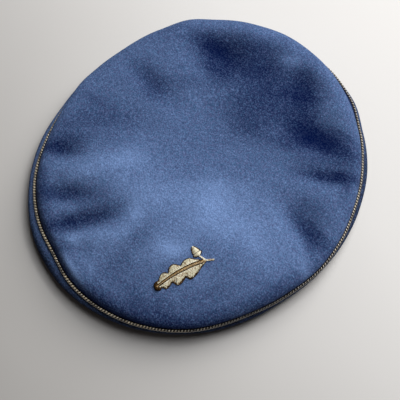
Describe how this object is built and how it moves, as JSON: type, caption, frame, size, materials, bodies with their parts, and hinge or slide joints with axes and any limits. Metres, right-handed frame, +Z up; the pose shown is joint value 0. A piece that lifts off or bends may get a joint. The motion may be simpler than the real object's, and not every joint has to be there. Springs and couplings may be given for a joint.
{
  "type": "student fraternity cap",
  "caption": "Soft flat student cap of blue felted cloth with a twisted gold cord in its rim seam and an embroidered gold oak leaf with an acorn.",
  "frame": {"origin": "middle of the cap's outline in plan, on the surface it rests on", "axes": "+Z up out of the crown, -Y towards the cap's front, +Y along its length"},
  "size_m": [0.252, 0.281, 0.0376],
  "materials": {
    "blue_cloth": "matt felted wool",
    "gold_cord": "twisted metallic thread",
    "gold_thread": "satin stitch",
    "dark_gold_thread": "satin stitch"
  },
  "bodies": {
    "root": {"crown_top": "blue_cloth", "crown_side": "blue_cloth", "headband": "blue_cloth", "edge_cord": "gold_cord", "oak_leaf": "gold_thread", "leaf_stem": "gold_thread", "acorn_stalk": "gold_thread", "acorn_cup": "dark_gold_thread", "acorn_nut": "gold_thread"}
  },
  "joints": []
}
